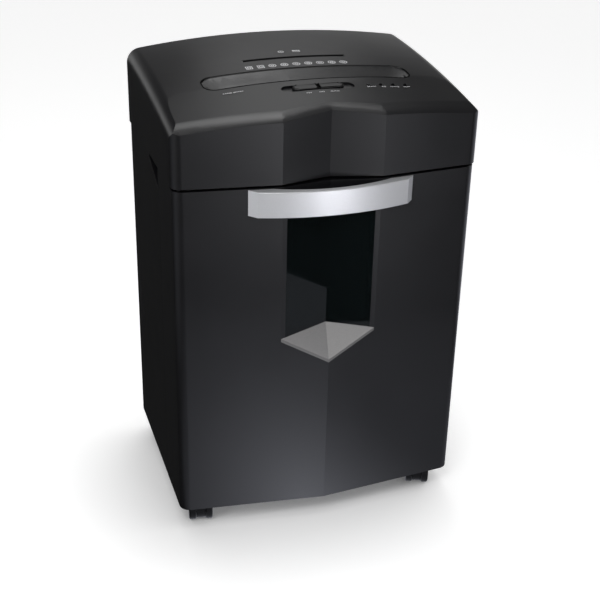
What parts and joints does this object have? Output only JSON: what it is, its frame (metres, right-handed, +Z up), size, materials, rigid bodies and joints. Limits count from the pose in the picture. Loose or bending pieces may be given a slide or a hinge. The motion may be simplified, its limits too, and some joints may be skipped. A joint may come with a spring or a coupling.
{
  "type": "paper shredder",
  "caption": "Free-standing paper shredder on castors: crowned cutting head with paper and disc slots over a pull-out bin with a smoked V window and a bowed silver handle.",
  "frame": {"origin": "on the floor, at the middle of the overall outline", "axes": "+X to the right as seen from the front, +Y to the back, +Z up"},
  "size_m": [0.36, 0.286, 0.5548],
  "materials": {
    "body_black": "fine matte moulded texture",
    "entry_black": "smooth matte",
    "inner_plastic": "moulded, plain",
    "silver_plastic": "silver paint with a soft sheen",
    "smoked_window": "clear, dark smoked",
    "lamp_lens": "cloudy lens",
    "steel_plate": "zinc plated",
    "cutter_steel": "ground and oiled",
    "gear_steel": "machined",
    "gear_nylon": "natural nylon",
    "comb_plastic": "glass filled",
    "bronze": "sintered",
    "motor_steel": "drawn, zinc plated",
    "board_green": "solder mask",
    "component_plastic": "component cases",
    "screw_steel": "zinc plated",
    "castor_plastic": "moulded",
    "castor_steel": "plated",
    "wheel_plastic": "hard nylon tread"
  },
  "bodies": {
    "cabinet": {"cabinet_shell": "body_black", "base_pan": "inner_plastic", "castor_sockets": "inner_plastic", "top_cover": "body_black", "paper_entry": "entry_black", "disc_chute": "entry_black", "cord_gland": "entry_black", "switch_body": "inner_plastic", "indicator_board": "board_green", "indicator_lenses": "lamp_lens", "head_tray": "inner_plastic", "head_screws": "screw_steel", "side_plate_left": "steel_plate", "side_plate_right": "steel_plate", "plate_screws": "screw_steel", "tie_rods": "steel_plate", "cutter_bushes": "bronze", "front_stripper": "comb_plastic", "rear_stripper": "comb_plastic", "reduction_axle": "cutter_steel", "motor_can": "motor_steel", "motor_end_bell": "inner_plastic", "control_board": "board_green", "board_components": "component_plastic", "paper_sensor": "inner_plastic", "interlock_body": "inner_plastic"},
    "bin": {"bin_fascia": "body_black", "bin_window": "smoked_window", "window_sill": "silver_plastic", "pull_handle": "silver_plastic", "handle_screws": "screw_steel", "bin_tub": "inner_plastic", "bin_screws": "screw_steel"},
    "switch": {"switch_knob": "entry_black"},
    "front_cutter_shaft": {"front_cutter": "cutter_steel", "front_sync_gear": "gear_steel"},
    "rear_cutter_shaft": {"rear_cutter": "cutter_steel", "rear_sync_gear": "gear_steel", "output_gear": "gear_steel"},
    "reduction": {"reduction_gear": "gear_nylon"},
    "rotor": {"motor_shaft": "cutter_steel", "motor_pinion": "cutter_steel"},
    "plunger": {"interlock_plunger": "inner_plastic"},
    "castor_front_left": {"castor_hood_front_left": "castor_plastic", "castor_stem_front_left": "castor_steel"},
    "wheels_front_left": {"castor_wheels_front_left": "wheel_plastic", "castor_axle_front_left": "castor_steel"},
    "castor_front_right": {"castor_hood_front_right": "castor_plastic", "castor_stem_front_right": "castor_steel"},
    "wheels_front_right": {"castor_wheels_front_right": "wheel_plastic", "castor_axle_front_right": "castor_steel"},
    "castor_rear_left": {"castor_hood_rear_left": "castor_plastic", "castor_stem_rear_left": "castor_steel"},
    "wheels_rear_left": {"castor_wheels_rear_left": "wheel_plastic", "castor_axle_rear_left": "castor_steel"},
    "castor_rear_right": {"castor_hood_rear_right": "castor_plastic", "castor_stem_rear_right": "castor_steel"},
    "wheels_rear_right": {"castor_wheels_rear_right": "wheel_plastic", "castor_axle_rear_right": "castor_steel"}
  },
  "joints": [
    {"name": "bin_slide", "type": "slide", "parent": "cabinet", "child": "bin", "axis": [0, -1, 0], "range_m": [0, 0.2]},
    {"name": "switch_slide", "type": "slide", "parent": "cabinet", "child": "switch", "axis": [1, 0, 0], "range_m": [-0.012, 0.012]},
    {"name": "plunger_slide", "type": "slide", "parent": "cabinet", "child": "plunger", "axis": [0, 1, 0], "range_m": [0, 0.0025], "stiffness_N_per_m": 200, "springref_m": -0.002},
    {"name": "rear_cutter_spin", "type": "hinge", "parent": "cabinet", "child": "rear_cutter_shaft", "pos_m": [0, -0.018, 0.48], "axis": [1, 0, 0], "continuous": true},
    {"name": "front_cutter_spin", "type": "hinge", "parent": "cabinet", "child": "front_cutter_shaft", "pos_m": [0, -0.054, 0.48], "axis": [1, 0, 0], "continuous": true},
    {"name": "reduction_spin", "type": "hinge", "parent": "cabinet", "child": "reduction", "pos_m": [0, 0.00928, 0.49575], "axis": [1, 0, 0], "continuous": true},
    {"name": "rotor_spin", "type": "hinge", "parent": "cabinet", "child": "rotor", "pos_m": [0, 0.04428, 0.49575], "axis": [1, 0, 0], "continuous": true},
    {"name": "swivel_front_left", "type": "hinge", "parent": "cabinet", "child": "castor_front_left", "pos_m": [-0.148, -0.079, 0.045], "axis": [0, 0, 1], "continuous": true},
    {"name": "roll_front_left", "type": "hinge", "parent": "castor_front_left", "child": "wheels_front_left", "pos_m": [-0.14956, -0.08786, 0.016], "axis": [-0.9848, 0.1736, 0], "continuous": true},
    {"name": "swivel_front_right", "type": "hinge", "parent": "cabinet", "child": "castor_front_right", "pos_m": [0.148, -0.079, 0.045], "axis": [0, 0, 1], "continuous": true},
    {"name": "roll_front_right", "type": "hinge", "parent": "castor_front_right", "child": "wheels_front_right", "pos_m": [0.14492, -0.08746, 0.016], "axis": [-0.9397, 0.342, 0], "continuous": true},
    {"name": "swivel_rear_left", "type": "hinge", "parent": "cabinet", "child": "castor_rear_left", "pos_m": [-0.148, 0.108, 0.045], "axis": [0, 0, 1], "continuous": true},
    {"name": "roll_rear_left", "type": "hinge", "parent": "castor_rear_left", "child": "wheels_rear_left", "pos_m": [-0.15316, 0.11537, 0.016], "axis": [0.8192, 0.5736, 0], "continuous": true},
    {"name": "swivel_rear_right", "type": "hinge", "parent": "cabinet", "child": "castor_rear_right", "pos_m": [0.148, 0.108, 0.045], "axis": [0, 0, 1], "continuous": true},
    {"name": "roll_rear_right", "type": "hinge", "parent": "castor_rear_right", "child": "wheels_rear_right", "pos_m": [0.15033, 0.11669, 0.016], "axis": [0.9659, -0.2588, 0], "continuous": true}
  ],
  "couplings": [
    {"joint": "front_cutter_spin", "follows": "rear_cutter_spin", "ratio": -1},
    {"joint": "reduction_spin", "follows": "rear_cutter_spin", "ratio": -3.5},
    {"joint": "rotor_spin", "follows": "rear_cutter_spin", "ratio": 14}
  ]
}
